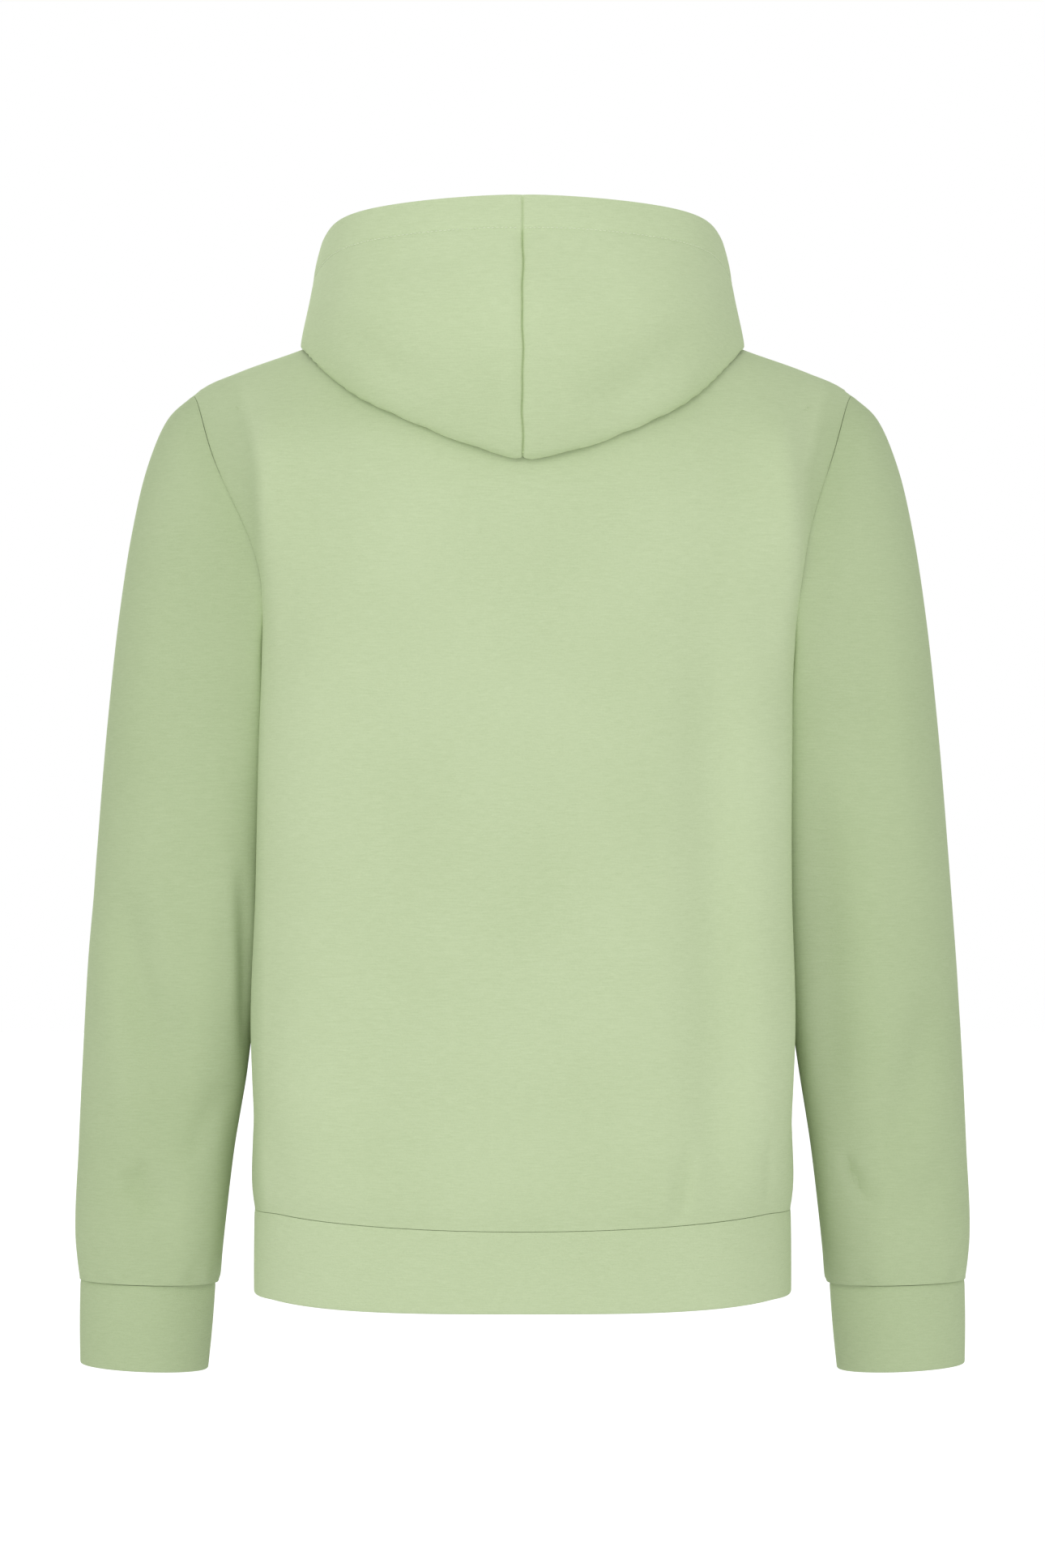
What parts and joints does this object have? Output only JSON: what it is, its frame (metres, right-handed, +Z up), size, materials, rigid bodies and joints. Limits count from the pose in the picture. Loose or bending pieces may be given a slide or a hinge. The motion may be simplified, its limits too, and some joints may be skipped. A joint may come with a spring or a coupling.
{
  "type": "zip-up hoodie",
  "caption": "Long-sleeved hooded sweatshirt that zips up the front, filled out but hollow, with its hood down.",
  "frame": {"origin": "middle of the neck's base, at the height of the shoulders' neck points, where the wearer's shoulders hold the garment up", "axes": "+Z up, the fronts and the zip face -Y, the back and the hood face +Y, and the wearer's left is +X"},
  "size_m": [0.6382, 0.2733, 0.818],
  "materials": {
    "body_cloth": "smooth fine knit, brushed inside",
    "sleeve_cloth": "smooth fine knit, brushed inside",
    "hood_cloth": "smooth fine knit, brushed inside",
    "rib": "smooth, very fine rib",
    "zip_tape": "woven tape",
    "zip_teeth": "moulded, tonal",
    "zip_metal": "satin nickel"
  },
  "bodies": {
    "hoodie": {"back": "body_cloth", "front_left": "body_cloth", "front_right": "body_cloth", "sleeve_left": "sleeve_cloth", "sleeve_right": "sleeve_cloth", "hood_left": "hood_cloth", "hood_right": "hood_cloth", "cuff_left": "rib", "cuff_right": "rib", "hem_band": "rib", "zip_tape_left": "zip_tape", "zip_tape_right": "zip_tape", "zip_chain": "zip_teeth", "zip_box": "zip_metal", "zip_slider": "zip_metal"},
    "pull_tab": {"zip_pull": "zip_metal"}
  },
  "joints": [
    {"name": "pull_tab_hinge", "type": "hinge", "parent": "hoodie", "child": "pull_tab", "pos_m": [0, -0.1031, -0.08648], "axis": [-1, 0, 0], "range_deg": [0, 150]}
  ]
}
